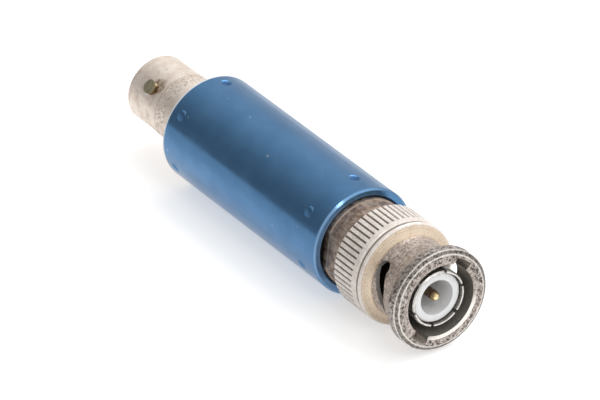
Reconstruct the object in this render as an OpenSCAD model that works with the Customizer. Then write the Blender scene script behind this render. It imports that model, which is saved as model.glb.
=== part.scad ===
// In-line coaxial attenuator: a round body tube with a bayonet plug on its front end
// and a bayonet jack on its rear end. X runs along the axis, towards the plug, and Z is up.
// The origin is on the axis, halfway along the tube.

/* [Tube] */
// outside diameter of the body tube
tube_d = 15.3; // [14.6:0.02:17.6]
// length of the body tube
tube_len = 37.06; // [33:0.02:60]
// wall of the body tube
tube_wall = 1.24; // [0.9:0.02:1.3]
// chamfer on the tube's four rims
tube_edge = 0.3; // [0.1:0.05:0.4]
// staking dimples round each end of the tube
stake_count = 6; // [3:1:8]
// angle of the first dimple about the axis
stake_phase = 142; // [0:1:359]
// distance of the front dimples from the front rim
stake_front = 3.6; // [3:0.1:4.5]
// distance of the rear dimples from the rear rim
stake_rear = 2.55; // [2.4:0.05:4.5]
// radius of the punch that made the dimples
stake_punch_r = 1.6; // [1:0.1:2.5]
// depth of a dimple
stake_depth = 0.25; // [0.1:0.05:0.4]

/* [Front end] */
// length of the plug body inside the tube
plug_seat = 8; // [6.5:0.1:12]
// gap between the plug body's front face and the nut's rear face
nut_back_gap = 0.41; // [0.3:0.01:0.6]
// depth of the two spanner flats
flats_depth = 0.6; // [0.3:0.02:0.9]
// angle of the first spanner flat about the axis
flats_phase = 173; // [0:1:359]
// length of the spanner flats behind the tube's rim
flats_run = 1.2; // [0.5:0.1:1.8]
// length of the plug body's collar in front of the tube's rim
collar_len = 0.5; // [0.2:0.05:1]
// step down from that collar to the front of the plug body
collar_step = 0.15; // [0.05:0.01:0.3]
// radial clearance of the end bodies in the tube
seat_gap = 0.04; // [0.01:0.01:0.1]
// depth of the groove that the dimples press into
stake_groove_depth = 0.7; // [0.5:0.05:1]
// width of the groove that the dimples press into
stake_groove_width = 2; // [1.6:0.1:2.4]

/* [Plug contact] */
// outside diameter of the slotted outer contact
finger_d = 8; // [7.9:0.02:8.08]
// wall of the slotted outer contact
finger_wall = 0.38; // [0.3:0.02:0.5]
// step from the fingers to their root under the gasket
finger_root_step = 0.2; // [0.16:0.02:0.3]
// length of that root in front of the gasket
finger_root_len = 0.3; // [0.1:0.05:0.6]
// length of the fingers in front of the flange
finger_len = 10.5; // [10.1:0.05:10.7]
// number of slots between the fingers
finger_slots = 6; // [4:1:8]
// width of a slot between two fingers
finger_slot_w = 0.45; // [0.3:0.05:0.6]
// length of the slots
finger_slot_len = 4.2; // [3.5:0.1:4.4]
// angle of the first slot about the axis
finger_phase = 15; // [0:1:59]
// height above the fingers of the flange that the nut turns on
flange_rise = 2; // [1.8:0.02:2]
// thickness of that flange
flange_t = 1; // [0.8:0.05:1.2]
// distance of the flange's front face from the tube's front rim
flange_face = 7.15; // [6.9:0.05:7.4]
// step from the fingers to the shank behind the flange
shank_step = 0.6; // [0.4:0.02:0.7]
// depth of the shank in the plug body
shank_seat = 4.5; // [3.5:0.1:5.5]
// thickness of the sealing gasket
gasket_t = 0.7; // [0.4:0.05:0.8]
// radial width of the sealing gasket
gasket_w = 0.58; // [0.4:0.02:0.6]

/* [Plug centre] */
// diameter of the centre pin
pin_d = 1.35; // [1.32:0.01:1.37]
// step from the pin to its root where it leaves the insulator
pin_root_step = 0.2; // [0.16:0.01:0.3]
// distance of the pin's tip behind the finger tips
pin_setback = 0.4; // [0.2:0.05:1.9]
// step from the pin's root to its stem inside the insulator
stem_step = 0.125; // [0.05:0.005:0.3]
// distance of the plug insulator's front face behind the finger tips
plug_insulator_setback = 0.5; // [0.2:0.05:1.4]
// wall of the plug insulator's mouth
plug_insulator_wall = 1.12; // [1.05:0.01:1.2]
// depth of the plug insulator's mouth
plug_insulator_depth = 7.9; // [6:0.1:8.5]
// gap between the plug insulator's mouth and the fingers, so that they can spring in
plug_insulator_relief = 0.06; // [0.02:0.01:0.2]
// length of that gap
plug_insulator_relief_len = 6; // [4:0.1:8]

/* [Coupling nut] */
// wall of the nut from the chamber that holds the flange to the knurl
nut_wall = 1.18; // [1:0.02:1.3]
// distance that the nut reaches past the finger tips
nut_over = 0.55; // [0.2:0.05:0.8]
// chamfer on the nut's rear edge
nut_edge = 0.6; // [0.3:0.05:0.8]
// number of knurl grooves
knurl_count = 57; // [30:1:64]
// angle of one knurl groove about the axis
knurl_phase = 139.7; // [0:0.1:359]
// depth of a knurl groove
knurl_depth = 0.24; // [0.1:0.02:0.3]
// width of a knurl groove at the surface
knurl_width = 0.34; // [0.2:0.02:0.4]
// length of the knurled band
knurl_len = 4.55; // [3:0.05:4.8]
// width of the plain band in front of the knurl
band_w = 0.9; // [0.5:0.05:1.1]
// width of the turned groove behind the bead
bead_groove_w = 0.28; // [0.2:0.02:0.4]
// depth of the turned groove behind the bead
bead_groove_depth = 0.3; // [0.1:0.02:0.4]
// width of the bead
bead_w = 0.72; // [0.5:0.02:0.9]
// drop of the shoulder towards the front, from the bead to the neck
shoulder_drop = 0.55; // [0.2:0.05:0.8]
// wall of the neck where it is smallest
neck_wall = 0.595; // [0.53:0.005:0.62]
// distance of the smallest part of the neck from the nut's front face
neck_setback = 6.3; // [6:0.05:6.6]
// radius of the neck's hollow curve
neck_curve = 8.1; // [7.6:0.1:9]
// radial drop from the knurl to the front flange
rim_drop = 0.13; // [0.05:0.01:0.3]
// width of the front flange's cylindrical edge
rim_w = 1.45; // [1:0.05:1.6]
// chamfer on the front flange's outer edge
rim_edge = 0.35; // [0.1:0.05:0.5]
// width of that chamfer across the face
rim_edge_w = 0.6; // [0.2:0.05:0.7]
// radial clearance of the nut's bore round the gasket
gasket_gap = 0.285; // [0.24:0.005:0.3]
// width across the face of the chamfer at the mouth of that bore
mouth_edge = 0.5; // [0.3:0.02:0.6]
// depth along the axis of that chamfer
mouth_edge_depth = 0.12; // [0.08:0.02:0.4]
// radial clearance of the nut on the flange it turns on
nut_gap = 0.1; // [0.05:0.01:0.1]
// axial clearance between the nut and the flange it turns on
nut_end_gap = 0.1; // [0.05:0.01:0.3]

/* [Bayonet slots] */
// angle of the first slot's entry about the axis
slot_phase = 54.5; // [0:0.5:359]
// clearance of a mating lug across the slots
slot_gap = 0.05; // [0.04:0.01:0.2]
// depth of the slots in the nut's bore
slot_cut = 0.765; // [0.72:0.005:0.82]
// depth of the entry notches in the nut's bore
entry_cut = 1.015; // [0.9:0.005:1.15]
// distance of the middle of the entry notches' round ends from the nut's front face
entry_len = 1.98; // [1.7:0.02:2.2]
// extra width of the entry notches over the slots
entry_flare = 0.4; // [0.2:0.05:0.8]
// distance of the slots' detents from the nut's front face
slot_reach = 6.68; // [6.4:0.02:6.8]
// distance along the axis that the slots draw the jack in
slot_draw = 3.4; // [3:0.05:4]
// distance that the detents step back towards the front
detent_step = 0.35; // [0.1:0.05:0.5]

/* [Nut spring] */
// thickness of the retaining ring
ring_t = 0.55; // [0.4:0.05:0.6]
// bite of the retaining ring into the nut
ring_grip = 0.25; // [0.15:0.01:0.4]
// radial clearance of the ring and the washers round the shank
ring_gap = 0.35; // [0.25:0.01:0.5]
// gap in the retaining ring
ring_split = 3; // [2:0.1:4]
// angle of that gap about the axis
ring_phase = 90; // [0:1:359]
// distance of the retaining ring from the nut's rear face
ring_inset = 0.36; // [0.25:0.02:0.4]
// thickness of the thrust washer
washer_t = 0.4; // [0.3:0.05:0.5]
// radial clearance of the thrust washer in the nut
washer_gap = 0.1; // [0.05:0.01:0.3]
// thickness of the bowed spring washer
spring_t = 0.3; // [0.2:0.02:0.4]
// radial clearance of the bowed spring washer in the nut
spring_gap = 0.2; // [0.1:0.01:0.4]
// bow of that washer
spring_bow = 0.79; // [0.65:0.01:1]
// axial clearance between the loose rings
stack_gap = 0.03; // [0.01:0.01:0.05]

/* [Rear end] */
// length of the jack body inside the tube
jack_seat = 8.16; // [7:0.02:12]
// distance of the jack body's step from the tube's rear rim
jack_inset = 0.2; // [0:0.02:0.4]
// wall of the jack's barrel
jack_wall = 0.75; // [0.7:0.01:0.8]
// step from the barrel to the collar behind it
jack_collar_step = 0.09; // [0.05:0.01:0.1]
// length of the barrel from the mouth to the collar
jack_barrel_len = 5.75; // [5.73:0.01:8]
// distance of the jack's mouth from the tube's rear rim
jack_mouth = 13.28; // [12.5:0.01:17]
// radial clearance of a mating plug's fingers in the jack's bore
jack_gap = 0.06; // [0.02:0.01:0.1]
// depth of that bore
jack_depth = 10.37; // [10.2:0.01:10.8]
// chamfer at the jack's mouth
jack_edge = 0.25; // [0.1:0.05:0.35]
// thickness of the web behind the jack's bore
jack_web = 1.2; // [0.8:0.05:1.6]
// diameter of a bayonet lug
lug_d = 2; // [1.9:0.01:2.03]
// height of a bayonet lug above the barrel
lug_rise = 0.72; // [0.66:0.01:0.75]
// distance of the lugs from the jack's mouth
lug_setback = 4.72; // [4.72:0.01:5.25]
// angle of the first lug about the axis
lug_phase = 139.8; // [0:0.1:359]

/* [Jack centre] */
// radial clearance of a nose like the jack insulator's in the plug insulator's mouth
nose_gap = 0.12; // [0.05:0.01:0.2]
// distance of the nose from the jack's mouth
nose_setback = 1.9; // [1.6:0.05:2.4]
// wall of the centre socket
socket_wall = 0.38; // [0.35:0.01:0.5]
// radial clearance of a mating pin in the socket
socket_gap = 0.005; // [0.005:0.005:0.03]
// depth of the socket's bore
socket_depth = 7.5; // [7:0.1:9]
// distance of the socket behind the nose's face
socket_setback = 0.2; // [0.1:0.05:0.5]
// width of the socket's slots
socket_slot_w = 0.18; // [0.1:0.01:0.2]
// length of the socket's slots
socket_slot_len = 4.5; // [3:0.1:6]
// length of the wide part of the socket behind its bore
socket_base = 0.6; // [0.4:0.1:1.5]

/* [Resistor line] */
// radial clearance of the shield sleeves in the tube
sleeve_gap = 0.1; // [0.05:0.01:0.2]
// step inwards from the insulators to the sleeves' bore
sleeve_lip = 0.15; // [0.05:0.01:0.3]
// diameter of the series resistor rods
rod_d = 3; // [2:0.05:3.2]
// wall of the end caps on the rods
cap_wall = 0.2; // [0.1:0.02:0.3]
// base of an end cap
cap_base = 0.4; // [0.3:0.05:0.6]
// length of an end cap's skirt
cap_skirt = 1.5; // [1:0.1:2.5]
// diameter of an end cap's stub
stub_d = 1; // [0.7:0.05:1.1]
// length of an end cap's stub
stub_len = 1.2; // [0.8:0.05:1.3]
// thickness of the shunt resistor disc
disc_t = 1; // [0.6:0.05:1.5]
// wall of the junction bush
bush_wall = 0.66; // [0.4:0.02:1]
// height of the junction bush's flange above the disc's bore
bush_flange_rise = 0.7; // [0.4:0.05:1]
// length of the pin's stem and the socket's tail beyond the end bodies
tail = 1; // [0.5:0.05:2]

/* [Fits] */
// radial clearance between pieces that are pressed or slid together
fit_gap = 0.02; // [0.01:0.01:0.03]
// chamfer on small turned edges
small_edge = 0.15; // [0.05:0.01:0.2]

/* [Hidden] */
$fn = 96;
eps = 0.01;
far = 40;
front = tube_len / 2;
rear = -tube_len / 2;
tube_r = tube_d / 2;
tube_in_r = tube_r - tube_wall;
seat_r = tube_in_r - seat_gap;
punch_off = stake_punch_r - stake_depth;
finger_r = finger_d / 2;
finger_in_r = finger_r - finger_wall;
finger_root_r = finger_r + finger_root_step;
flange_r = finger_r + flange_rise;
shank_r = finger_r + shank_step;
liner_r = finger_in_r - fit_gap;
gasket_in_r = finger_root_r + fit_gap;
gasket_r = gasket_in_r + gasket_w;
flange_front = front + flange_face;
flange_rear = flange_front - flange_t;
finger_x0 = flange_front + gasket_t + finger_root_len;
tip_x = flange_front + finger_len;
spring_h = spring_t + spring_bow;
spring_x0 = flange_rear - stack_gap - spring_h;
washer_x1 = spring_x0 - stack_gap;
washer_x0 = washer_x1 - washer_t;
ring_x1 = washer_x0 - stack_gap;
ring_x0 = ring_x1 - ring_t;
nut_x0 = ring_x0 - ring_inset;
nut_x1 = tip_x + nut_over;
neck_face = nut_x0 - nut_back_gap;
shank_end = neck_face - shank_seat;
plug_inner = front - plug_seat;
jack_inner = rear + jack_seat;
pin_r = pin_d / 2;
pin_root_r = pin_r + pin_root_step;
stem_r = pin_root_r + stem_step;
pin_tip_x = tip_x - pin_setback;
mouth_face = tip_x - plug_insulator_setback;
mouth_floor = mouth_face - plug_insulator_depth;
mouth_r = liner_r - plug_insulator_wall;
pin_step = mouth_floor - stem_r;
liner_tip_r = liner_r - plug_insulator_relief;
relief_x = mouth_face - plug_insulator_relief_len;
collar_x = front + collar_len;
plug_front_r = seat_r - collar_step;
chamber_r = flange_r + nut_gap;
chamber_end = flange_front + nut_end_gap;
nut_r = chamber_r + nut_wall;
nut_bore_r = gasket_r + gasket_gap;
knurl_end = nut_x0 + knurl_len;
band_end = knurl_end + band_w;
bead_x0 = band_end + bead_groove_w;
bead_x1 = bead_x0 + bead_w;
bead_r = bead_w / 2;
shoulder_x = bead_x1 + shoulder_drop;
neck_r = nut_bore_r + neck_wall;
neck_root_r = neck_r + shoulder_drop / 4;
waist_x = nut_x1 - neck_setback;
rim_r = nut_r - rim_drop;
rim_x0 = nut_x1 - rim_edge - rim_w;
slot_w = lug_d + slot_gap;
entry_w = slot_w + entry_flare;
slot_r = nut_bore_r + slot_cut;
entry_r = nut_bore_r + entry_cut;
detent_x = nut_x1 - slot_reach;
entry_x = detent_x + slot_draw;
notch_x = nut_x1 - entry_len;
slot_mid = (detent_x + entry_x) / 2;
slot_tilt = atan(slot_draw / sqrt(2) / slot_r);
ring_r = chamber_r + ring_grip;
ring_groove_r = ring_r + 2 * stack_gap;
ring_in_r = shank_r + ring_gap;
washer_r = chamber_r - washer_gap;
spring_r = chamber_r - spring_gap;
spring_curve = (pow(spring_r, 2) + pow(spring_bow, 2)) / (2 * spring_bow);
jack_bore_r = finger_r + jack_gap;
jack_r = jack_bore_r + jack_wall;
jack_collar_r = jack_r + jack_collar_step;
jack_face = rear - jack_mouth;
jack_collar_x = jack_face + jack_barrel_len;
jack_floor = jack_face + jack_depth;
web_end = jack_floor + jack_web;
lug_x = jack_face + lug_setback;
lug_tip_r = jack_r + lug_rise;
nose_r = mouth_r - nose_gap;
nose_face = jack_face + nose_setback;
socket_bore_r = pin_r + socket_gap;
socket_r = socket_bore_r + socket_wall;
socket_face = nose_face + socket_setback;
socket_step = socket_face + socket_depth + socket_base;
pin_tail = plug_inner - tail;
socket_tail = jack_inner + tail;
sleeve_r = tube_in_r - sleeve_gap;
sleeve_in_r = liner_r - sleeve_lip;
disc_x = (plug_inner + jack_inner) / 2;
disc_x0 = disc_x - disc_t / 2;
disc_x1 = disc_x + disc_t / 2;
stub_hole_r = stub_d / 2 + fit_gap;
bush_r = stub_hole_r + bush_wall;
disc_bore_r = bush_r + fit_gap;
bush_flange_r = disc_bore_r + bush_flange_rise;
bush_x1 = disc_x1 + tail;
bush_x0 = disc_x0 - tail;
cap_r = rod_d / 2 + fit_gap + cap_wall;

// a solid turned about the axis, from points of radius and position
module turned(points) {
  rotate([0, 90, 0])
    rotate_extrude()
      polygon(points);
}

// a round bar along the axis
module bar(x0, x1, r) {
  translate([x0, 0, 0])
    rotate([0, 90, 0])
      cylinder(h = x1 - x0, r = r);
}

// a round bar pointing outwards from the axis at a position and an angle
module spoke(x, angle, r, r0, r1) {
  rotate([angle, 0, 0])
    translate([x, r0, 0])
      rotate([-90, 0, 0])
        cylinder(h = r1 - r0, r = r);
}

// a slot along the axis, open outwards, at an angle
module keyway(x0, x1, angle, w, r1) {
  rotate([angle, 0, 0])
    translate([x0, 0, -w / 2])
      cube([x1 - x0, r1, w]);
}

// a ring of balls about the axis, for one row of dimples
module stakes(x, r, ball) {
  for (i = [0 : stake_count - 1])
    rotate([stake_phase + i * 360 / stake_count, 0, 0])
      translate([x, r, 0])
        sphere(r = ball);
}

module body_tube() {
  color([0.2, 0.38, 0.62])
    difference() {
      union() {
        turned([
          [tube_in_r, rear + tube_edge], [tube_in_r + tube_edge, rear],
          [tube_r - tube_edge, rear], [tube_r, rear + tube_edge],
          [tube_r, front - tube_edge], [tube_r - tube_edge, front],
          [tube_in_r + tube_edge, front], [tube_in_r, front - tube_edge]
        ]);
        intersection() {
          bar(rear, front, tube_r - tube_wall / 2);
          union() {
            stakes(front - stake_front, tube_in_r + punch_off, stake_punch_r);
            stakes(rear + stake_rear, tube_in_r + punch_off, stake_punch_r);
          }
        }
      }
      stakes(front - stake_front, tube_r + punch_off, stake_punch_r);
      stakes(rear + stake_rear, tube_r + punch_off, stake_punch_r);
    }
}

// the part of an end body that sits in the tube, with the groove that the dimples press into
module seat(x0, x1, groove_x) {
  difference() {
    turned([
      [0, x0], [seat_r - small_edge, x0], [seat_r, x0 + small_edge],
      [seat_r, x1 - small_edge], [seat_r - small_edge, x1], [0, x1]
    ]);
    difference() {
      bar(groove_x - stake_groove_width / 2, groove_x + stake_groove_width / 2, tube_r);
      bar(x0 - eps, x1 + eps, seat_r - stake_groove_depth);
    }
  }
}

module plug_body() {
  color([0.5, 0.42, 0.34])
    difference() {
      seat(plug_inner, neck_face, front - stake_front);
      for (side = [0, 180])
        rotate([flats_phase + side, 0, 0])
          translate([front - flats_run, seat_r - flats_depth, -far / 2])
            cube([far, far, far]);
      turned([
        [plug_front_r, collar_x], [tube_r, collar_x], [tube_r, neck_face + eps],
        [plug_front_r - small_edge, neck_face + eps], [plug_front_r, neck_face - small_edge]
      ]);
      bar(shank_end, front + far, shank_r + fit_gap);
      bar(plug_inner - eps, front + far, finger_in_r);
    }
}

module outer_contact() {
  color([0.72, 0.7, 0.67])
    difference() {
      turned([
        [finger_in_r, shank_end], [shank_r - small_edge, shank_end],
        [shank_r, shank_end + small_edge], [shank_r, flange_rear],
        [flange_r, flange_rear], [flange_r, flange_front],
        [finger_root_r, flange_front], [finger_root_r, finger_x0],
        [finger_r, finger_x0], [finger_r, tip_x - small_edge],
        [finger_r - small_edge, tip_x], [finger_in_r, tip_x]
      ]);
      for (i = [0 : finger_slots - 1])
        keyway(tip_x - finger_slot_len, front + far,
               finger_phase + i * 360 / finger_slots, finger_slot_w, far);
    }
}

module plug_insulator() {
  color([0.93, 0.92, 0.9])
    difference() {
      turned([
        [0, plug_inner], [liner_r, plug_inner],
        [liner_r, relief_x], [liner_tip_r, relief_x],
        [liner_tip_r, mouth_face - small_edge], [liner_tip_r - small_edge, mouth_face],
        [0, mouth_face]
      ]);
      bar(mouth_floor, front + far, mouth_r);
      bar(plug_inner - eps, front + far, pin_root_r + fit_gap);
      bar(plug_inner - eps, pin_step, stem_r + fit_gap);
    }
}

module center_pin() {
  color([0.8, 0.62, 0.3])
    difference() {
      union() {
        bar(pin_tail, pin_step, stem_r);
        bar(pin_tail, mouth_floor, pin_root_r);
        bar(pin_tail, pin_tip_x - pin_r, pin_r);
        intersection() {
          translate([pin_tip_x - pin_r, 0, 0])
            sphere(r = pin_r);
          bar(pin_tip_x - pin_r - eps, pin_tip_x, pin_d);
        }
      }
      bar(pin_tail - eps, pin_tail + stub_len + stub_d / 2, stub_hole_r);
    }
}

module sealing_gasket() {
  color([0.75, 0.42, 0.35])
    difference() {
      bar(flange_front, flange_front + gasket_t, gasket_r);
      bar(flange_front - eps, flange_front + far, gasket_in_r);
    }
}

// the two helical bayonet slots, each with its entry notch and its detent
module bayonet_slots() {
  for (side = [0, 180])
    rotate([slot_phase + side - 45, 0, 0]) {
      intersection() {
        bar(nut_x0, nut_x1 + far, slot_r);
        rotate([45, 0, 0])
          translate([nut_x0, 0, -far])
            cube([far, far, far]);
        rotate([-45, 0, 0])
          translate([nut_x0, 0, 0])
            cube([far, far, far]);
        translate([slot_mid, 0, 0])
          rotate([0, slot_tilt, 0])
            translate([-slot_w / 2, 0, -far / 2])
              cube([slot_w, far, far]);
      }
      intersection() {
        bar(nut_x0, nut_x1 + far, slot_r);
        union() {
          spoke(detent_x + detent_step, -45, slot_w / 2, finger_r, far);
          spoke(entry_x, 45, slot_w / 2, finger_r, far);
          keyway(entry_x, nut_x1 + far, 45, slot_w, far);
        }
      }
      intersection() {
        bar(nut_x0, nut_x1 + far, entry_r);
        union() {
          spoke(notch_x, 45, entry_w / 2, finger_r, far);
          keyway(notch_x, nut_x1 + far, 45, entry_w, far);
        }
      }
    }
}

// one straight groove of the knurl
module knurl_groove() {
  rotate([90, 0, 90])
    linear_extrude(height = knurl_len + eps)
      polygon([
        [nut_r - knurl_depth, -knurl_width / 6], [nut_r - knurl_depth, knurl_width / 6],
        [nut_r, knurl_width / 2], [nut_r + eps, knurl_width / 2],
        [nut_r + eps, -knurl_width / 2], [nut_r, -knurl_width / 2]
      ]);
}

module coupling_nut() {
  color([0.68, 0.64, 0.6])
    difference() {
      union() {
        turned([
          [0, nut_x0], [nut_r - nut_edge, nut_x0], [nut_r, nut_x0 + nut_edge],
          [nut_r, band_end - small_edge], [nut_r - small_edge, band_end],
          [nut_r - bead_groove_depth, band_end], [nut_r - bead_groove_depth, bead_x0],
          [nut_r - bead_r, bead_x0], [nut_r - bead_r, bead_x1],
          [neck_r, shoulder_x], [0, shoulder_x]
        ]);
        rotate([0, 90, 0])
          rotate_extrude()
            translate([nut_r - bead_r, (bead_x0 + bead_x1) / 2])
              circle(r = bead_r);
        difference() {
          turned([
            [0, bead_x1 - bead_r], [neck_root_r, bead_x1 - bead_r],
            [neck_root_r, shoulder_x], [rim_r, rim_x0],
            [rim_r, nut_x1 - rim_edge], [rim_r - rim_edge_w, nut_x1], [0, nut_x1]
          ]);
          rotate([0, 90, 0])
            rotate_extrude()
              translate([neck_r + neck_curve, waist_x])
                circle(r = neck_curve);
        }
      }
      for (i = [0 : knurl_count - 1])
        rotate([knurl_phase + i * 360 / knurl_count, 0, 0])
          translate([nut_x0 - eps, 0, 0])
            knurl_groove();
      turned([
        [0, nut_x0 - eps], [chamber_r, nut_x0 - eps], [chamber_r, ring_x0 - stack_gap],
        [ring_groove_r, ring_x0 - stack_gap],
        [ring_groove_r, ring_x1 + stack_gap], [chamber_r, ring_x1 + stack_gap],
        [chamber_r, chamber_end], [nut_bore_r, chamber_end],
        [nut_bore_r, nut_x1 - mouth_edge_depth], [nut_bore_r + mouth_edge, nut_x1],
        [nut_bore_r + mouth_edge, nut_x1 + eps], [0, nut_x1 + eps]
      ]);
      bayonet_slots();
    }
}

module retaining_ring() {
  color([0.55, 0.56, 0.58])
    difference() {
      bar(ring_x0, ring_x1, ring_r);
      bar(ring_x0 - eps, ring_x1 + eps, ring_in_r);
      keyway(ring_x0 - eps, ring_x1 + eps, ring_phase, ring_split, far);
    }
}

module thrust_washer() {
  color([0.75, 0.62, 0.38])
    difference() {
      bar(washer_x0, washer_x1, washer_r);
      bar(washer_x0 - eps, washer_x1 + eps, ring_in_r);
    }
}

// a flat ring bent about a line across it, so that it springs between two flat faces
module spring_washer() {
  color([0.6, 0.6, 0.62])
    intersection() {
      difference() {
        bar(spring_x0 - spring_h, spring_x0 + 2 * spring_h, spring_r);
        bar(spring_x0 - far, spring_x0 + far, ring_in_r);
      }
      translate([spring_x0 + spring_h - spring_curve - spring_t, 0, -far / 2])
        difference() {
          cylinder(h = far, r = spring_curve + spring_t, $fn = 360);
          translate([0, 0, -eps])
            cylinder(h = far + 2 * eps, r = spring_curve, $fn = 360);
        }
    }
}

module jack_body() {
  color([0.74, 0.69, 0.63])
    difference() {
      union() {
        seat(rear + jack_inset, jack_inner, rear + stake_rear);
        turned([
          [0, jack_face], [jack_r - jack_edge, jack_face], [jack_r, jack_face + jack_edge],
          [jack_r, jack_collar_x], [jack_collar_r, jack_collar_x + jack_collar_step],
          [jack_collar_r, jack_inner - jack_seat / 2], [0, jack_inner - jack_seat / 2]
        ]);
      }
      turned([
        [0, jack_face - eps], [jack_bore_r + jack_edge, jack_face - eps],
        [jack_bore_r + jack_edge, jack_face], [jack_bore_r, jack_face + jack_edge],
        [jack_bore_r, jack_floor], [nose_r + fit_gap, jack_floor],
        [nose_r + fit_gap, web_end], [liner_r + fit_gap, web_end],
        [liner_r + fit_gap, jack_inner + eps], [0, jack_inner + eps]
      ]);
      for (side = [0, 180])
        spoke(lug_x, lug_phase + side, lug_d / 2, 0, far);
    }
}

module bayonet_lugs() {
  color([0.7, 0.64, 0.5])
    for (side = [0, 180])
      difference() {
        spoke(lug_x, lug_phase + side, lug_d / 2, 0, lug_tip_r);
        bar(jack_face, web_end, jack_bore_r);
      }
}

module jack_insulator() {
  color([0.93, 0.92, 0.9])
    difference() {
      turned([
        [0, nose_face], [nose_r - small_edge, nose_face], [nose_r, nose_face + small_edge],
        [nose_r, web_end], [liner_r, web_end], [liner_r, jack_inner], [0, jack_inner]
      ]);
      bar(nose_face - eps, socket_step, socket_r + fit_gap);
      bar(nose_face - eps, jack_inner + eps, stem_r + fit_gap);
    }
}

module center_socket() {
  color([0.8, 0.62, 0.3])
    difference() {
      union() {
        bar(socket_face, socket_step, socket_r);
        bar(socket_face, socket_tail, stem_r);
      }
      bar(socket_face - eps, socket_face + socket_depth, socket_bore_r);
      for (angle = [0, 90])
        translate([socket_face - eps, 0, 0])
          rotate([angle, 0, 0])
            translate([0, -far / 2, -socket_slot_w / 2])
              cube([socket_slot_len, far, socket_slot_w]);
      bar(socket_tail - stub_len - stub_d / 2, socket_tail + eps, stub_hole_r);
    }
}

// one half of the shield that carries the outer conductor between the ends
module sleeve(x0, x1) {
  difference() {
    bar(x0, x1, sleeve_r);
    bar(x0 - eps, x1 + eps, sleeve_in_r);
  }
}

module front_sleeve() {
  color([0.72, 0.58, 0.34])
    sleeve(disc_x1, plug_inner);
}

module rear_sleeve() {
  color([0.72, 0.58, 0.34])
    sleeve(jack_inner, disc_x0);
}

module shunt_disc() {
  color([0.88, 0.86, 0.82])
    difference() {
      bar(disc_x0, disc_x1, sleeve_r);
      bar(disc_x0 - eps, disc_x1 + eps, disc_bore_r);
    }
}

module junction_bush() {
  color([0.76, 0.6, 0.32])
    difference() {
      union() {
        bar(bush_x0, bush_x1, bush_r);
        bar(disc_x1, bush_x1, bush_flange_r);
      }
      bar(bush_x0 - eps, bush_x1 + eps, stub_hole_r);
    }
}

module front_rod() {
  color([0.42, 0.36, 0.32])
    bar(bush_x1 + cap_base, pin_tail - cap_base, rod_d / 2);
}

module rear_rod() {
  color([0.42, 0.36, 0.32])
    bar(socket_tail + cap_base, bush_x0 - cap_base, rod_d / 2);
}

// an end cap at a position, with its stub pointing along the axis or back
module rod_cap(x, back) {
  translate([x, 0, 0])
    rotate([0, back ? 180 : 0, 0]) {
      bar(-eps, stub_len, stub_d / 2);
      difference() {
        bar(-cap_base - cap_skirt, 0, cap_r);
        bar(-cap_base - cap_skirt - eps, -cap_base, rod_d / 2 + fit_gap);
      }
    }
}

module rod_caps() {
  color([0.7, 0.68, 0.66]) {
    rod_cap(pin_tail, false);
    rod_cap(bush_x1, true);
    rod_cap(bush_x0, false);
    rod_cap(socket_tail, true);
  }
}

body_tube();
plug_body();
outer_contact();
plug_insulator();
center_pin();
sealing_gasket();
coupling_nut();
retaining_ring();
thrust_washer();
spring_washer();
jack_body();
bayonet_lugs();
jack_insulator();
center_socket();
front_sleeve();
rear_sleeve();
shunt_disc();
junction_bush();
front_rod();
rear_rod();
rod_caps();
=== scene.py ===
"""Looks of an in-line coaxial attenuator: procedural finishes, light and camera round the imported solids.

Lengths inside the materials are in millimetres: x along the part's axis towards the plug, r out from it.
"""
import math
import bmesh
import bpy
from mathutils import Matrix, Vector


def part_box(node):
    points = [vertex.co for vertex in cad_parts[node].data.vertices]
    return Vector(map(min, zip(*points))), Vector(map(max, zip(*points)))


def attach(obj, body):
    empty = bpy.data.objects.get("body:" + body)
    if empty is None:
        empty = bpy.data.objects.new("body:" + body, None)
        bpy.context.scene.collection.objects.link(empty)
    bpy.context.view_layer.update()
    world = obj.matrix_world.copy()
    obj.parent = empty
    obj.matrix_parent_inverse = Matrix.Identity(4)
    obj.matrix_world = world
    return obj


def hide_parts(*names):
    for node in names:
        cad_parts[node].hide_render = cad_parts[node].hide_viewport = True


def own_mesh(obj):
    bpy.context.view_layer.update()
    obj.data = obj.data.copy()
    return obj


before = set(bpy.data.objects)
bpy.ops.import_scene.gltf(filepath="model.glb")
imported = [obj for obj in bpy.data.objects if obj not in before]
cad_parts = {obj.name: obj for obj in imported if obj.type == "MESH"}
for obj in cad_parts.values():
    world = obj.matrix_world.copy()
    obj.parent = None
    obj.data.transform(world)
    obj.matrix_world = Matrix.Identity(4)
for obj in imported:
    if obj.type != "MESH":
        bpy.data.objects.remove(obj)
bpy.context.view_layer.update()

TO_MM = 1000.0

# Along the axis: where a finish, a painted light or a painted shade begins and where it is full, or where
# it begins and ends.
TUBE_REAR = (-18.02, -17.92)
TUBE_FRONT = (18.24, 18.34)
TUBE_DIMPLES = (-17.6, 17.6)
PLUG_BODY_DEEP = (17.9, 18.4)
PLUG_BODY_EDGE = (18.9, 19.08)
PLUG_HALF = (19.0, 19.1)
NUT_RIBS_END = (26.76, 26.8)
NUT_GROOVE = (27.65, 27.9)
NUT_SHOULDER = (28.6, 29.2)
NUT_SHINE = (28.6, 29.4)
NUT_ROUGH = (29.0, 29.4)
NUT_NECK = (29.16, 29.26)
NUT_NOTCH = (34.6, 36.62)
NUT_FLANGE = (34.85, 35.05)
NUT_OUTER_LINE = (36.26, 36.44)
NUT_RIM_DARK = (36.42, 36.64)
NUT_INSIDE_END = (36.55, 36.6)
NUT_MOUTH = (36.58, 36.61)
NUT_RIM_LINE = (36.58, 36.64)
CONTACT_TIPS = (34.4, 35.9)
WHITE_BORE = (26.0, 33.5)
PIN_SHAFT_END = (34.95, 35.4)
PIN_FLANK = (34.7, 35.75)
JACK_ROUGH_BAND = (-24.57, -22.41)
JACK_STEP_LINES = ((-26.14, -25.98), (-24.7, -24.58))

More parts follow.
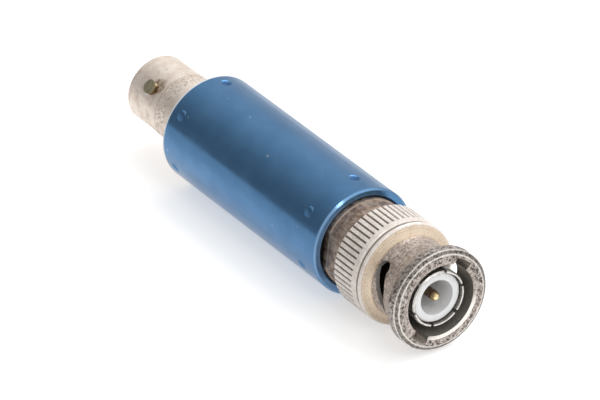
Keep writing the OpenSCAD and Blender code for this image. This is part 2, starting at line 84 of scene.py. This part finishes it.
# Out from the axis, in the same way.
TUBE_REAR_R = (7.24, 7.34)
TUBE_FRONT_R = (7.38, 7.46)
TUBE_DIMPLE_R = (7.5, 7.62)
NUT_RIB_R = (7.1, 7.22)
NUT_BEAD_R = (6.96, 7.06)
NUT_RIM_LINE_R = (6.46, 6.62)
NUT_RIM_DARK_R = (6.66, 7.06)
NUT_OUTER_R = (7.0, 7.06)
NUT_MOUTH_R = (5.52, 5.6)
NUT_INSIDE_R = (5.5, 5.6)
NUT_NOTCH_R = (5.6, 6.16)
CONTACT_BORE_R = (3.64, 3.68)
PIN_FLANK_R = (0.32, 0.48)
JACK_BORE_R = (4.1, 4.3)
LUG_SIDE_R = (5.3, 5.44)

# Sides of the part where light and shade are painted: angles about its axis from +Y towards +Z, and how
# far out that way it runs in.
LEFT_SIDE = 185.0
LEFT_RUN = (0.0, 6.0)
WEAR_HIGHLIGHT_SIDE = 300.0
WEAR_HIGHLIGHT_RUN = (2.4, 4.7)
UPPER_RUN = (5.2, 6.2)

# The lug in view: its place on the axis, the barrel's radius there, and its angle.
LUG_X = -27.09
LUG_R = 4.95
LUG_ANGLE = 139.8

# The floor, in metres. The camera sees FLOOR_GLOW. The part mirrors FLOOR_MIRROR, which fades from
# FLOOR_NEAR to FLOOR_FAR on both sides of the axis.
FLOOR_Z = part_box("body_tube")[0].z
FLOOR_RADIUS = 3.0
FLOOR_CORNERS = 96
FLOOR_COLOUR = (0.8, 0.8, 0.8, 1.0)
FLOOR_GLOW = 0.5
FLOOR_MIRROR = 0.42
FLOOR_NEAR = 0.010
FLOOR_FAR = 0.030

# The room's light: its base, and what it gains along +Y, upwards and along +X (from, to, gain).
WHITE = (1.0, 1.0, 1.0, 1.0)
ROOM_BASE = 0.25
ROOM_SIDE = (-0.5, 0.6, 0.45)
ROOM_TOP = (0.3, 0.9, 0.3)
ROOM_FRONT = (0.1, 0.9, 0.5)

# The camera, fitted to the photograph, placed from the centre of the tube's front rim, in metres.
CAMERA_AZIMUTH = math.radians(56.853)
CAMERA_ELEVATION = math.radians(29.463)
RIM_CENTRE = Vector((0.01853, 0.0, 0.0))
CAMERA_LEFT = 0.0081895
CAMERA_UP = 0.0054615
CAMERA_DISTANCE = 0.9113655
CAMERA_LENS_MM = 420.0
CAMERA_SENSOR_MM = 36.0
CAMERA_CLIP = 0.01


def lin(red, green, blue):
    """A colour written as 0 to 255, as linear values with alpha."""
    def one(v):
        v /= 255.0
        return v / 12.92 if v <= 0.04045 else ((v + 0.055) / 1.055) ** 2.4
    return (one(red), one(green), one(blue), 1.0)


def put(tree, target, value):
    """Sets a socket to a number or colour, or links it to another socket."""
    if isinstance(value, bpy.types.NodeSocket):
        tree.links.new(value, target)
    else:
        target.default_value = value


def calc(tree, operation, a, b=0.0):
    """What a math node makes of a and b."""
    node = tree.nodes.new("ShaderNodeMath")
    node.operation = operation
    put(tree, node.inputs[0], a)
    put(tree, node.inputs[1], b)
    return node.outputs[0]


def ramp(tree, value, low, high, start=0.0, end=1.0, shape="SMOOTHSTEP"):
    """start below low, end above high, and a smooth or straight run between them."""
    node = tree.nodes.new("ShaderNodeMapRange")
    node.interpolation_type = shape
    put(tree, node.inputs["Value"], value)
    node.inputs["From Min"].default_value = low
    node.inputs["From Max"].default_value = high
    node.inputs["To Min"].default_value = start
    node.inputs["To Max"].default_value = end
    return node.outputs[0]


class Paint:
    """A procedural material on the Principled shader, with short calls for the nodes that it needs."""

    def __init__(self, name, metallic=0.0, roughness=0.5):
        self.mat = bpy.data.materials.new(name)
        self.mat.use_nodes = True
        self.tree = self.mat.node_tree
        self.nodes = self.tree.nodes
        self.nodes.clear()
        out = self.nodes.new("ShaderNodeOutputMaterial")
        self.shader = self.nodes.new("ShaderNodeBsdfPrincipled")
        self.set(Metallic=metallic, Roughness=roughness)
        self.link(self.shader.outputs["BSDF"], out.inputs["Surface"])
        coord = self.nodes.new("ShaderNodeTexCoord")
        scale = self.nodes.new("ShaderNodeVectorMath")
        scale.operation = "SCALE"
        scale.inputs["Scale"].default_value = TO_MM
        self.link(coord.outputs["Object"], scale.inputs[0])
        self.place = scale.outputs[0]
        split = self.nodes.new("ShaderNodeSeparateXYZ")
        self.link(self.place, split.inputs[0])
        self.x, self.y, self.z = split.outputs
        self.r = self.math("SQRT", self.sum(self.both(self.y, self.y), self.both(self.z, self.z)))

    def link(self, source, target):
        self.tree.links.new(source, target)

    def set(self, **values):
        """Sets or links the shader's sockets, named with _ for a space."""
        for name, value in values.items():
            put(self.tree, self.shader.inputs[name.replace("_", " ")], value)

    def math(self, operation, a, b=0.0):
        return calc(self.tree, operation, a, b)

    def sum(self, a, b):
        return self.math("ADD", a, b)

    def both(self, a, b):
        return self.math("MULTIPLY", a, b)

    def either(self, a, b):
        return self.math("MAXIMUM", a, b)

    def invert(self, value):
        return self.math("SUBTRACT", 1.0, value)

    def step(self, value, low, high):
        """0 below low, 1 above high, and smooth between them."""
        return ramp(self.tree, value, low, high)

    def span(self, value, low, high, soft=0.04):
        """1 between low and high, and 0 outside."""
        return self.both(self.step(value, low - soft, low + soft),
                         self.invert(self.step(value, high - soft, high + soft)))

    def noise(self, scale, detail=2.0, rough=0.5, vector=None):
        node = self.nodes.new("ShaderNodeTexNoise")
        self.link(self.place if vector is None else vector, node.inputs["Vector"])
        node.inputs["Scale"].default_value = scale
        node.inputs["Detail"].default_value = detail
        node.inputs["Roughness"].default_value = rough
        return node.outputs[0]

    def lines(self, along, scale, detail=2.0):
        """Fine turning lines that vary only along one measure."""
        node = self.nodes.new("ShaderNodeTexNoise")
        node.noise_dimensions = "1D"
        self.link(along, node.inputs["W"])
        node.inputs["Scale"].default_value = scale
        node.inputs["Detail"].default_value = detail
        return node.outputs[0]

    def cells(self, scale):
        """The distance to the nearest of many scattered points."""
        node = self.nodes.new("ShaderNodeTexVoronoi")
        self.link(self.place, node.inputs["Vector"])
        node.inputs["Scale"].default_value = scale
        return node.outputs[0]

    def vector(self, operation, value):
        """The vector math node of the place and a fixed vector."""
        node = self.nodes.new("ShaderNodeVectorMath")
        node.operation = operation
        self.link(self.place, node.inputs[0])
        node.inputs[1].default_value = value
        return node

    def moved(self, amount):
        """The place, shifted so that a second pattern differs from the first."""
        return self.vector("ADD", (amount, -amount, 0.5 * amount)).outputs[0]

    def stretched(self, sx, sy, sz):
        """The place, scaled so that a pattern is drawn out along an axis."""
        return self.vector("MULTIPLY", (sx, sy, sz)).outputs[0]

    def along(self, degrees):
        """How far a place lies from the axis towards an angle about it."""
        angle = math.radians(degrees)
        return self.sum(self.both(self.y, math.cos(angle)), self.both(self.z, math.sin(angle)))

    def near(self, point, low, high):
        """1 within low of a point, 0 beyond high."""
        return self.invert(self.step(self.vector("DISTANCE", point).outputs["Value"], low, high))

    def mix(self, amount, a, b):
        """A colour between a and b."""
        node = self.nodes.new("ShaderNodeMix")
        node.data_type = "RGBA"
        for socket, value in zip((0, 6, 7), (amount, a, b)):
            put(self.tree, node.inputs[socket], value)
        return node.outputs[2]

    def blend(self, amount, a, b):
        """A number between a and b."""
        node = self.nodes.new("ShaderNodeMix")
        node.data_type = "FLOAT"
        for socket, value in zip((0, 2, 3), (amount, a, b)):
            put(self.tree, node.inputs[socket], value)
        return node.outputs[0]

    def bump(self, height, depth_mm):
        node = self.nodes.new("ShaderNodeBump")
        node.inputs["Strength"].default_value = 1.0
        node.inputs["Distance"].default_value = depth_mm / TO_MM
        self.link(height, node.inputs["Height"])
        self.link(node.outputs[0], self.shader.inputs["Normal"])


def dress(paint, *nodes):
    """Gives a finish to the CAD nodes, in every material slot that they have."""
    for name in nodes:
        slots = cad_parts[name].data.materials
        if not slots:
            slots.append(paint.mat)
        for i in range(len(slots)):
            slots[i] = paint.mat


def anodised_blue():
    """Satin blue anodising: white rear edge and a few pale nicks, with a painted highlight on the front
    rim, painted light on the rim's left side, and painted shade in the upper dimples, which are rougher
    too.
    """
    p = Paint("blue_anodised", roughness=0.2)
    cloud = p.noise(0.35, 3.0)
    grain = p.noise(9.0, 2.0)
    base = p.mix(p.step(cloud, 0.3, 0.7), lin(86, 132, 176), lin(93, 139, 183))
    base = p.mix(p.both(p.step(grain, 0.45, 0.75), 0.2), base, lin(76, 120, 164))
    nick = p.step(p.noise(1.1, 1.0, vector=p.moved(31.0)), 0.76, 0.79)
    base = p.mix(p.both(nick, 0.7), base, lin(168, 196, 220))
    rear_edge = p.both(p.invert(p.step(p.x, *TUBE_REAR)), p.step(p.r, *TUBE_REAR_R))
    front_face = p.step(p.x, *TUBE_FRONT)
    front_rim_highlight = p.both(front_face, p.step(p.r, *TUBE_FRONT_R))
    # Painted light: the front face is lighter and less metallic on its left side.
    left_rim_light = p.both(front_face, p.step(p.along(LEFT_SIDE), *LEFT_RUN))
    base = p.mix(p.both(left_rim_light, 0.7), base, lin(128, 172, 220))
    base = p.mix(p.both(rear_edge, 0.95), base, lin(240, 245, 250))
    # Painted highlight: the outer band of the front rim is made paler.
    base = p.mix(p.both(front_rim_highlight, 0.4), base, lin(150, 186, 216))
    smear = p.noise(0.8, 4.0, 0.6, vector=p.stretched(0.35, 1.0, 1.0))
    rough = p.blend(p.step(smear, 0.35, 0.7), 0.18, 0.24)
    dimple = p.both(p.invert(p.step(p.r, *TUBE_DIMPLE_R)), p.span(p.x, *TUBE_DIMPLES))
    # Painted shade: only the upper dimples are darker, and rougher, which dulls their highlights.
    upper_dimple_shade = p.both(dimple, p.step(p.z, *UPPER_RUN))
    base = p.mix(p.both(upper_dimple_shade, 0.8), base, lin(60, 98, 142))
    shine = p.blend(rear_edge, p.blend(left_rim_light, 0.9, 0.55), 0.1)
    p.set(Base_Color=base, Roughness=p.blend(upper_dimple_shade, rough, 0.65), Metallic=shine)
    p.bump(p.sum(p.both(grain, 0.35), p.both(cloud, 0.4)), 0.002)
    return p


def tarnished_nickel():
    """The plug body: brown tarnish in blotches, a pale line beside the tube's mouth that is edge wear and
    a painted highlight, and painted shade where it runs into the tube.
    """
    p = Paint("tarnished_nickel", metallic=0.75, roughness=0.45)
    blotch = p.noise(1.3, 4.0, 0.62)
    fine = p.noise(5.5, 3.0, 0.6, vector=p.moved(7.0))
    streak = p.noise(1.0, 3.0, 0.6, vector=p.stretched(0.5, 2.2, 2.2))
    base = p.mix(p.step(blotch, 0.36, 0.62), lin(136, 114, 98), lin(190, 170, 154))
    base = p.mix(p.both(p.step(fine, 0.5, 0.66), 0.6), base, lin(108, 88, 74))
    base = p.mix(p.both(p.step(streak, 0.56, 0.7), 0.55), base, lin(216, 200, 184))
    # A pale line round the collar beside the tube's mouth: edge wear and a painted highlight.
    wear_and_highlight = p.span(p.x, *PLUG_BODY_EDGE)
    base = p.mix(p.both(wear_and_highlight, 0.85), base, lin(226, 212, 196))
    # Painted shade: darker where the body runs into the tube.
    deep_shade = p.invert(p.step(p.x, *PLUG_BODY_DEEP))
    base = p.mix(p.both(deep_shade, 0.8), base, lin(46, 38, 32))
    p.set(Base_Color=base, Roughness=p.blend(p.step(blotch, 0.3, 0.7), 0.34, 0.55))
    p.bump(p.sum(p.both(blotch, 0.5), fine), 0.012)
    return p


def worn_nickel():
    """The coupling nut: pale ribs and bead, a bronze shoulder, and a pitted, mottled neck and flange, with
    painted highlights and shade on the flange's edges and mouth and painted shade inside.
    """
    p = Paint("worn_nickel", roughness=0.34)
    blotch = p.noise(0.9, 4.0, 0.6)
    mottle = p.noise(2.4, 4.0, 0.66, vector=p.moved(13.0))
    speck = p.noise(4.6, 3.0, 0.6, vector=p.moved(29.0))
    pits = p.cells(3.4)
    turning = p.lines(p.sum(p.r, p.x), 9.0, 3.0)

    pale = p.mix(p.step(blotch, 0.36, 0.66), lin(252, 245, 238), lin(240, 229, 220))
    pale = p.mix(p.both(p.step(speck, 0.56, 0.68), 0.4), pale, lin(166, 148, 136))
    rib_valley = p.both(p.invert(p.step(p.r, *NUT_RIB_R)), p.invert(p.step(p.x, *NUT_RIBS_END)))
    pale = p.mix(p.both(rib_valley, 0.85), pale, lin(104, 88, 78))
    groove = p.span(p.x, *NUT_GROOVE, 0.03)
    pale = p.mix(p.both(groove, 0.85), pale, lin(62, 52, 44))

    bronze = p.mix(p.step(turning, 0.38, 0.62), lin(226, 206, 182), lin(240, 222, 198))
    bronze = p.mix(p.both(p.step(blotch, 0.48, 0.66), 0.45), bronze, lin(204, 178, 148))
    on_shoulder = p.both(p.span(p.x, *NUT_SHOULDER, 0.05), p.invert(p.step(p.r, *NUT_BEAD_R)))
    base = p.mix(on_shoulder, pale, bronze)

    grey = p.mix(p.step(mottle, 0.36, 0.64), lin(152, 138, 132), lin(222, 212, 205))
    grey = p.mix(p.both(p.step(blotch, 0.5, 0.68), 0.4), grey, lin(164, 144, 130))
    grey = p.mix(p.both(p.step(speck, 0.6, 0.7), 0.8), grey, lin(236, 230, 224))
    grey = p.mix(p.both(p.invert(p.step(pits, 0.12, 0.26)), 0.7), grey, lin(62, 52, 46))
    base = p.mix(p.step(p.x, *NUT_NECK), base, grey)

    worn = p.mix(p.step(mottle, 0.4, 0.58), lin(78, 70, 66), lin(190, 179, 172))
    worn = p.mix(p.both(p.step(blotch, 0.5, 0.64), 0.4), worn, lin(132, 114, 102))
    worn = p.mix(p.both(p.step(speck, 0.585, 0.66), 0.85), worn, lin(238, 232, 226))
    base = p.mix(p.step(p.x, *NUT_FLANGE), base, worn)
    # Painted highlight: a bright line at the outer edge of the flange's face.
    rim_highlight = p.both(p.step(p.x, *NUT_RIM_LINE), p.span(p.r, *NUT_RIM_LINE_R))
    base = p.mix(p.both(rim_highlight, 0.85), base, lin(240, 236, 230))
    # Painted shade: a dark band on the flange's outer chamfer.
    rim_chamfer_shade = p.both(p.span(p.x, *NUT_RIM_DARK, 0.03), p.span(p.r, *NUT_RIM_DARK_R))
    base = p.mix(p.both(rim_chamfer_shade, 0.4), base, lin(58, 50, 46))
    # Painted highlight round the flange's outer edge, broken up by noise.
    outer_highlight = p.both(p.span(p.x, *NUT_OUTER_LINE, 0.03), p.step(p.r, *NUT_OUTER_R))
    outer_highlight_breaks = p.blend(p.step(speck, 0.42, 0.6), 0.5, 0.95)
    base = p.mix(p.both(outer_highlight, outer_highlight_breaks), base, lin(246, 243, 238))
    mouth = p.both(p.step(p.x, *NUT_MOUTH), p.invert(p.step(p.r, *NUT_MOUTH_R)))
    # The mouth's chamfer: worn smooth and bright, with a painted highlight on its lower right side.
    wear_and_highlight = p.both(mouth, p.step(p.along(WEAR_HIGHLIGHT_SIDE), *WEAR_HIGHLIGHT_RUN))
    base = p.mix(p.both(mouth, 0.3), base, lin(206, 194, 184))
    base = p.mix(p.both(wear_and_highlight, 0.9), base, lin(246, 241, 234))
    # Painted shade: darker inside the nut.
    inside_shade = p.both(p.invert(p.step(p.r, *NUT_INSIDE_R)), p.invert(p.step(p.x, *NUT_INSIDE_END)))
    base = p.mix(p.both(inside_shade, 0.9), base, lin(140, 136, 130))
    notch = p.both(p.span(p.r, *NUT_NOTCH_R), p.span(p.x, *NUT_NOTCH))
    base = p.mix(p.both(notch, 0.8), base, lin(206, 198, 186))

    ahead = p.step(p.x, *NUT_ROUGH)
    rough = p.sum(p.blend(ahead, 0.3, 0.42), p.both(p.math("SUBTRACT", mottle, 0.5), 0.35))
    shine = p.blend(p.step(p.x, *NUT_SHINE), 0.2, 0.75)
    shine = p.blend(p.either(inside_shade, notch), shine, 0.35)
    p.set(Base_Color=base, Roughness=p.blend(wear_and_highlight, rough, 0.22), Metallic=p.blend(wear_and_highlight, shine, 1.0))
    pitting = p.both(p.sum(p.both(p.step(pits, 0.05, 0.3), 0.7), mottle), ahead)
    p.bump(p.sum(pitting, p.both(turning, 0.25)), 0.03)
    return p


def bright_nickel():
    """The slotted contact: bright nickel, with painted shade behind the finger tips down inside the nut
    and on the fingers' inner wall.
    """
    p = Paint("bright_nickel", metallic=1.0, roughness=0.26)
    cloud = p.noise(1.4, 3.0)
    scratch = p.noise(6.0, 2.0, vector=p.stretched(0.25, 1.6, 1.6))
    base = p.mix(p.step(cloud, 0.35, 0.65), lin(228, 226, 222), lin(206, 202, 196))
    base = p.mix(p.both(p.step(scratch, 0.56, 0.7), 0.4), base, lin(170, 164, 156))
    # Painted shade: darker behind the tips and on the inner wall.
    deep_shade = p.either(p.invert(p.step(p.x, *CONTACT_TIPS)), p.invert(p.step(p.r, *CONTACT_BORE_R)))
    base = p.mix(p.both(deep_shade, 0.8), base, lin(112, 106, 100))
    p.set(Base_Color=base, Roughness=p.blend(p.step(cloud, 0.3, 0.7), 0.2, 0.32))
    p.bump(scratch, 0.004)
    return p


def white_insulator():
    """Waxy white fluoroplastic with faint turning lines, with painted shade down the plug's bore."""
    p = Paint("white_insulator", roughness=0.36)
    cloud = p.noise(0.9, 3.0)
    turning = p.lines(p.sum(p.r, p.x), 7.0, 2.0)
    base = p.mix(p.step(cloud, 0.4, 0.7), lin(254, 254, 254), lin(247, 248, 249))
    # Painted shade: browner and darker deeper down the plug's bore.
    deep_shade = p.both(p.invert(p.step(p.x, *WHITE_BORE)), p.step(p.x, *PLUG_HALF))
    base = p.mix(p.both(deep_shade, 0.65), base, lin(150, 136, 126))
    p.set(Base_Color=base, Roughness=p.blend(p.step(turning, 0.4, 0.6), 0.32, 0.42),
          Subsurface_Weight=0.25, Subsurface_Radius=(0.9, 0.88, 0.86), Subsurface_Scale=0.0012)
    p.bump(turning, 0.004)
    return p


def gold():
    """Gold plate on the centre contacts, with fine turning lines, and painted shade on the pin behind its
    tip and on its flank.
    """
    p = Paint("gold", metallic=1.0, roughness=0.28)
    cloud = p.noise(2.6, 3.0)
    turning = p.lines(p.x, 12.0, 2.0)
    base = p.mix(p.step(cloud, 0.36, 0.66), lin(253, 234, 192), lin(240, 210, 158))
    # Painted shade: the pin's shaft behind its tip is dark brown.
    shaft_shade = p.both(p.invert(p.step(p.x, *PIN_SHAFT_END)), p.step(p.x, *PLUG_HALF))
    base = p.mix(p.both(shaft_shade, 0.85), base, lin(90, 66, 52))
    # Painted shade: the flank round the pin's tip is darker, leaving its end bright.
    flank_shade = p.both(p.span(p.x, *PIN_FLANK), p.step(p.r, *PIN_FLANK_R))
    base = p.mix(p.both(flank_shade, 0.7), base, lin(112, 84, 58))
    p.set(Base_Color=base, Roughness=p.blend(p.step(turning, 0.4, 0.6), 0.22, 0.34))
    p.bump(turning, 0.003)
    return p


def gasket():
    """Matt silicone rubber with a fine grain."""
    p = Paint("gasket", roughness=0.72)
    grain = p.noise(11.0, 3.0)
    base = p.mix(p.step(grain, 0.35, 0.7), lin(150, 78, 64), lin(128, 62, 52))
    p.set(Base_Color=base, Roughness=p.blend(p.step(grain, 0.3, 0.7), 0.64, 0.8))
    p.bump(grain, 0.008)
    return p


def on_lug(ahead, about, r):
    """A point beside the lug in view, in mm along the axis and about it, at a distance r from the axis."""
    angle = math.radians(LUG_ANGLE) + about / r
    return (LUG_X + ahead, r * math.cos(angle), r * math.sin(angle))


def dull_nickel():
    """The jack: warm dull nickel, speckled, rough beside the tube, with painted shade along its steps and
    in its bore, and a painted glint and a painted reflection of the lug beside a lug.
    """
    p = Paint("dull_nickel", metallic=0.7, roughness=0.46)
    cloud = p.noise(0.6, 3.0, 0.55)
    mottle = p.noise(1.5, 4.0, 0.6, vector=p.moved(17.0))
    speck = p.noise(4.2, 2.0, 0.6, vector=p.moved(41.0))
    pits = p.cells(2.3)
    base = p.mix(p.step(cloud, 0.36, 0.66), lin(248, 236, 224), lin(234, 218, 205))
    base = p.mix(p.both(p.step(mottle, 0.5, 0.68), 0.4), base, lin(196, 176, 162))
    base = p.mix(p.both(p.step(speck, 0.6, 0.7), 0.55), base, lin(248, 242, 236))
    base = p.mix(p.both(p.invert(p.step(pits, 0.05, 0.13)), 0.4), base, lin(124, 108, 98))
    rough_band = p.span(p.x, *JACK_ROUGH_BAND, 0.25)
    flecks = p.both(rough_band, p.step(p.noise(2.9, 3.0, 0.65, vector=p.moved(53.0)), 0.5, 0.6))
    base = p.mix(p.both(flecks, 0.5), base, lin(150, 124, 104))
    bright = p.both(rough_band, p.step(p.noise(3.1, 2.0, vector=p.moved(67.0)), 0.6, 0.68))
    base = p.mix(p.both(bright, 0.85), base, lin(252, 248, 242))
    # Painted shade: dark lines along the barrel's steps.
    step_shade = p.either(*(p.span(p.x, *line) for line in JACK_STEP_LINES))
    base = p.mix(p.both(step_shade, 0.45), base, lin(120, 104, 94))
    # Painted highlight: a glint beside the lug.
    glint = p.near(on_lug(-0.62, 0.5, LUG_R), 0.78, 0.94)
    base = p.mix(p.both(glint, 0.85), base, lin(252, 249, 242))
    # Painted reflection: a brown patch for the lug mirrored in the barrel, patchy in strength.
    lug_reflection = p.near(on_lug(0.75, -0.75, LUG_R), 0.95, 1.4)
    patchy = p.step(p.noise(2.2, 3.0, 0.6, vector=p.moved(5.0)), 0.4, 0.6)
    base = p.mix(p.both(lug_reflection, p.blend(patchy, 0.4, 0.9)), base, lin(128, 100, 66))
    # Painted shade: darker in the bore.
    inside_shade = p.invert(p.step(p.r, *JACK_BORE_R))
    base = p.mix(p.both(inside_shade, 0.55), base, lin(110, 98, 88))
    p.set(Base_Color=base, Roughness=p.blend(p.step(mottle, 0.3, 0.7), 0.38, 0.58))
    height = p.sum(p.both(mottle, 0.5), p.both(p.step(pits, 0.03, 0.14), 0.5))
    p.bump(p.sum(height, p.both(flecks, -0.8)), 0.03)
    return p


def tarnished_brass():
    """The bayonet lugs: greenish grey flat tops, and brown sides with one painted highlight."""
    p = Paint("tarnished_brass", metallic=0.9, roughness=0.42)
    cloud = p.noise(1.8, 3.0, 0.6)
    base = p.mix(p.step(cloud, 0.36, 0.66), lin(186, 178, 150), lin(158, 150, 124))
    side = p.invert(p.step(p.r, *LUG_SIDE_R))
    base = p.mix(p.both(side, 0.8), base, lin(122, 96, 60))
    # Painted highlight: one bright spot on the lug's side.
    side_highlight = p.near(on_lug(0.7, -0.7, LUG_R + 0.25), 0.12, 0.3)
    base = p.mix(p.both(side_highlight, 0.9), base, lin(255, 240, 206))
    p.set(Base_Color=base, Roughness=p.blend(p.step(cloud, 0.3, 0.7), 0.34, 0.5))
    p.bump(cloud, 0.01)
    return p


def plain_metal(name, light, dark, roughness):
    """Plain turned metal on a hidden piece."""
    p = Paint(name, metallic=1.0, roughness=roughness)
    turning = p.lines(p.sum(p.r, p.x), 6.0, 3.0)
    base = p.mix(p.step(p.noise(0.7, 3.0), 0.35, 0.68), light, dark)
    rough = p.blend(p.step(turning, 0.38, 0.62), roughness - 0.06, roughness + 0.08)
    p.set(Base_Color=base, Roughness=rough)
    p.bump(turning, 0.006)
    return p


def fired_ceramic(name, light, dark):
    """Fired ceramic with a thin film, on a hidden piece."""
    p = Paint(name, roughness=0.55)
    grain = p.noise(7.0, 3.0)
    base = p.mix(p.step(grain, 0.35, 0.68), light, dark)
    p.set(Base_Color=base, Roughness=p.blend(p.step(grain, 0.3, 0.7), 0.48, 0.64))
    p.bump(grain, 0.006)
    return p


def squash_washer():
    """A copy of the bowed washer, on the attenuator's body and with a mesh of its own, in place of the CAD
    piece.
    """
    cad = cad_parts["spring_washer"]
    washer = bpy.data.objects.new("bowed_washer", cad.data.copy())
    bpy.context.collection.objects.link(washer)
    bpy.context.view_layer.update()
    washer.matrix_world = cad.matrix_world
    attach(washer, "attenuator")
    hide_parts("spring_washer")
    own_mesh(washer)


def make_floor():
    """A pale floor that the camera sees as white, with the part's shadow on it."""
    mesh = bpy.data.meshes.new("floor")
    bm = bmesh.new()
    bmesh.ops.create_circle(bm, cap_ends=True, segments=FLOOR_CORNERS, radius=FLOOR_RADIUS)
    bm.to_mesh(mesh)
    bm.free()
    floor = bpy.data.objects.new("floor", mesh)
    floor.location = (0.0, 0.0, FLOOR_Z)
    bpy.context.collection.objects.link(floor)
    mat = bpy.data.materials.new("floor_white")
    mat.use_nodes = True
    tree = mat.node_tree
    tree.nodes.clear()
    coord = tree.nodes.new("ShaderNodeTexCoord")
    split = tree.nodes.new("ShaderNodeSeparateXYZ")
    tree.links.new(coord.outputs["Object"], split.inputs[0])
    aside = calc(tree, "ABSOLUTE", split.outputs[1])
    fade = ramp(tree, aside, FLOOR_NEAR, FLOOR_FAR, FLOOR_MIRROR, 0.0, "LINEAR")
    path = tree.nodes.new("ShaderNodeLightPath")
    seen = calc(tree, "MULTIPLY", path.outputs["Is Camera Ray"], FLOOR_GLOW)
    mirrored = calc(tree, "MULTIPLY", path.outputs["Is Glossy Ray"], fade)
    glow = tree.nodes.new("ShaderNodeEmission")
    tree.links.new(calc(tree, "ADD", seen, mirrored), glow.inputs["Strength"])
    diffuse = tree.nodes.new("ShaderNodeBsdfDiffuse")
    diffuse.inputs["Color"].default_value = FLOOR_COLOUR
    add = tree.nodes.new("ShaderNodeAddShader")
    tree.links.new(diffuse.outputs[0], add.inputs[0])
    tree.links.new(glow.outputs[0], add.inputs[1])
    out = tree.nodes.new("ShaderNodeOutputMaterial")
    tree.links.new(add.outputs[0], out.inputs["Surface"])
    mesh.materials.append(mat)


def make_world():
    """White to the camera. The light is a soft room, brighter above, ahead of the plug and towards +Y."""
    world = bpy.data.worlds.new("room")
    bpy.context.scene.world = world
    world.use_nodes = True
    tree = world.node_tree
    tree.nodes.clear()
    coord = tree.nodes.new("ShaderNodeTexCoord")
    split = tree.nodes.new("ShaderNodeSeparateXYZ")
    tree.links.new(coord.outputs["Generated"], split.inputs[0])
    level = ROOM_BASE
    for axis, (low, high, gain) in enumerate((ROOM_FRONT, ROOM_SIDE, ROOM_TOP)):
        level = calc(tree, "ADD", ramp(tree, split.outputs[axis], low, high, 0.0, gain), level)
    room = tree.nodes.new("ShaderNodeBackground")
    tree.links.new(level, room.inputs["Strength"])
    white = tree.nodes.new("ShaderNodeBackground")
    for background in (room, white):
        background.inputs["Color"].default_value = WHITE
    path = tree.nodes.new("ShaderNodeLightPath")
    pick = tree.nodes.new("ShaderNodeMixShader")
    tree.links.new(path.outputs["Is Camera Ray"], pick.inputs[0])
    tree.links.new(room.outputs[0], pick.inputs[1])
    tree.links.new(white.outputs[0], pick.inputs[2])
    out = tree.nodes.new("ShaderNodeOutputWorld")
    tree.links.new(pick.outputs[0], out.inputs["Surface"])


def soft_box(name, direction, distance, size, watts):
    """A square soft box that faces the part's middle."""
    lamp = bpy.data.lights.new(name, "AREA")
    lamp.size = size
    lamp.energy = watts
    box = bpy.data.objects.new(name, lamp)
    away = Vector(direction).normalized()
    box.location = away * distance
    box.rotation_euler = away.to_track_quat("Z", "Y").to_euler()
    bpy.context.collection.objects.link(box)


def make_camera():
    """The photograph's own view: a long lens from the plug's side, looking down."""
    azimuth, elevation = CAMERA_AZIMUTH, CAMERA_ELEVATION
    right = Vector((math.cos(azimuth), math.sin(azimuth), 0.0))
    back = Vector((math.sin(azimuth) * math.cos(elevation),
                   -math.cos(azimuth) * math.cos(elevation), math.sin(elevation)))
    up = back.cross(right)
    place = RIM_CENTRE - CAMERA_LEFT * right + CAMERA_UP * up + CAMERA_DISTANCE * back
    data = bpy.data.cameras.new("camera")
    data.sensor_fit = "HORIZONTAL"
    data.sensor_width = CAMERA_SENSOR_MM
    data.lens = CAMERA_LENS_MM
    data.clip_start = CAMERA_CLIP
    camera = bpy.data.objects.new("camera", data)
    turn = Matrix((right, up, back)).transposed().to_4x4()
    camera.matrix_world = Matrix.Translation(place) @ turn
    bpy.context.collection.objects.link(camera)
    bpy.context.scene.camera = camera


dress(anodised_blue(), "body_tube")
dress(tarnished_nickel(), "plug_body")
dress(worn_nickel(), "coupling_nut")
dress(bright_nickel(), "outer_contact", "rod_caps")
dress(white_insulator(), "plug_insulator", "jack_insulator")
dress(gold(), "center_pin", "center_socket")
dress(gasket(), "sealing_gasket")
dress(dull_nickel(), "jack_body")
dress(tarnished_brass(), "bayonet_lugs")
dress(plain_metal("spring_steel", lin(196, 198, 202), lin(168, 170, 174), 0.34),
      "retaining_ring", "spring_washer")
dress(plain_metal("plain_brass", lin(222, 188, 122), lin(190, 152, 88), 0.36),
      "thrust_washer", "front_sleeve", "rear_sleeve", "junction_bush")
dress(fired_ceramic("ceramic", lin(238, 234, 226), lin(222, 216, 206)), "shunt_disc")
dress(fired_ceramic("resistor", lin(98, 84, 74), lin(76, 64, 56)), "front_rod", "rear_rod")
squash_washer()

make_floor()
make_world()
soft_box("top_box", direction=(-0.1, 0.55, 0.83), distance=0.6, size=0.5, watts=1.4)
soft_box("front_box", direction=(0.63, -0.18, 0.75), distance=0.6, size=0.1, watts=0.19)
make_camera()
bpy.context.scene.view_settings.view_transform = "Standard"
